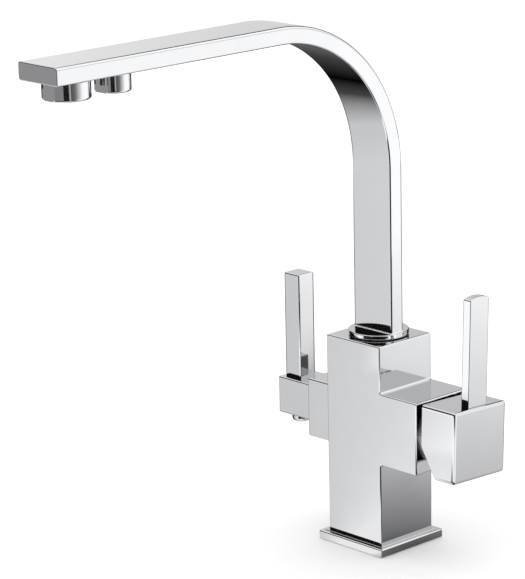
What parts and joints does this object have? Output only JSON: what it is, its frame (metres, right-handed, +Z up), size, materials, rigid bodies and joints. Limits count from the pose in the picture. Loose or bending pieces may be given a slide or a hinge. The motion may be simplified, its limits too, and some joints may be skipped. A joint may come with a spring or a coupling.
{
  "type": "three way kitchen tap",
  "caption": "Deck mounted kitchen mixer tap: square column, swivelling spout of flat tube with a large bend, mixer lever on one arm, filtered water lever on the other, separate outlets.",
  "frame": {"origin": "centre of the square base plate's underside, on the column's axis, where the tap sits on the worktop", "axes": "+Z up along the column, -Y from the column towards the spout's tip and the user, +X along the mixer arm, -X along the filtered water arm"},
  "size_m": [0.1601, 0.2844, 0.334],
  "materials": {
    "polished_chrome": "mirror polished chrome plate on brass",
    "brass": "machined, unplated",
    "black_rubber": "smooth moulded nitrile rubber",
    "white_nylon": "moulded low-friction nylon",
    "cartridge_plastic": "moulded engineering plastic",
    "aerator_plastic": "fine moulded acetal",
    "tube_plastic": "extruded polyethylene tube",
    "ceramic": "lapped alumina ceramic",
    "stainless_steel": "turned stainless steel"
  },
  "bodies": {
    "fixed_body": {"tap_body": "polished_chrome", "base_plate": "polished_chrome", "base_seal": "black_rubber", "inlet_block": "brass", "swivel_washer": "white_nylon", "spout_retaining_screw": "stainless_steel", "cartridge_base": "cartridge_plastic", "cartridge_seals": "black_rubber", "cartridge_fixed_disc": "ceramic", "cartridge_housing": "cartridge_plastic", "cartridge_nut": "brass", "mixer_cover_ring": "polished_chrome", "filter_valve_body": "brass", "filter_fixed_disc": "ceramic", "filter_valve_seal": "black_rubber"},
    "spout_assembly": {"spout": "polished_chrome", "spout_flange": "polished_chrome", "spout_shank": "brass", "spout_slide_rings": "white_nylon", "spout_o_rings": "black_rubber", "filter_tube": "tube_plastic", "filter_tube_connector": "brass", "connector_o_ring": "black_rubber", "filter_outlet_connector": "brass", "main_outlet_collar": "brass", "main_aerator_housing": "polished_chrome", "main_aerator_insert": "aerator_plastic", "main_aerator_washer": "black_rubber", "filter_outlet_housing": "polished_chrome", "filter_outlet_insert": "aerator_plastic", "filter_outlet_washer": "black_rubber"},
    "temperature_carrier": {"stem_carrier": "white_nylon", "pivot_pin": "stainless_steel"},
    "mixer_lever_assembly": {"lever_stem": "brass", "mixer_handle": "polished_chrome", "mixer_lever": "polished_chrome", "mixer_lever_screw": "stainless_steel", "mixer_handle_screw": "stainless_steel"},
    "mixer_disc_pair": {"moving_disc": "ceramic", "disc_carrier": "white_nylon"},
    "filter_lever_assembly": {"filter_handle": "polished_chrome", "filter_lever": "polished_chrome", "filter_lever_stud": "stainless_steel", "filter_cap_nut": "polished_chrome", "filter_handle_screw": "stainless_steel", "filter_spindle": "brass", "spindle_o_ring": "black_rubber", "spindle_clip": "stainless_steel", "filter_moving_disc": "ceramic"}
  },
  "joints": [
    {"name": "spout_swivel", "type": "hinge", "parent": "fixed_body", "child": "spout_assembly", "pos_m": [0, 0, 0.1318], "axis": [0, 0, 1], "continuous": true},
    {"name": "mixer_temperature", "type": "hinge", "parent": "fixed_body", "child": "temperature_carrier", "pos_m": [0.044, 0, 0.08], "axis": [1, 0, 0], "range_deg": [-48, 52]},
    {"name": "mixer_flow", "type": "hinge", "parent": "temperature_carrier", "child": "mixer_lever_assembly", "pos_m": [0.044, 0, 0.08], "axis": [0, 0.9994, -0.0349], "range_deg": [0, 22]},
    {"name": "mixer_disc_slide", "type": "slide", "parent": "temperature_carrier", "child": "mixer_disc_pair", "axis": [0, 0.0349, 0.9994], "range_m": [0, 0.0033]},
    {"name": "filter_quarter_turn", "type": "hinge", "parent": "fixed_body", "child": "filter_lever_assembly", "pos_m": [-0.045, 0, 0.08], "axis": [1, 0, 0], "range_deg": [0, 90]}
  ],
  "couplings": [
    {"joint": "mixer_disc_slide", "follows": "mixer_flow", "m_per_rad": 0.0083}
  ]
}
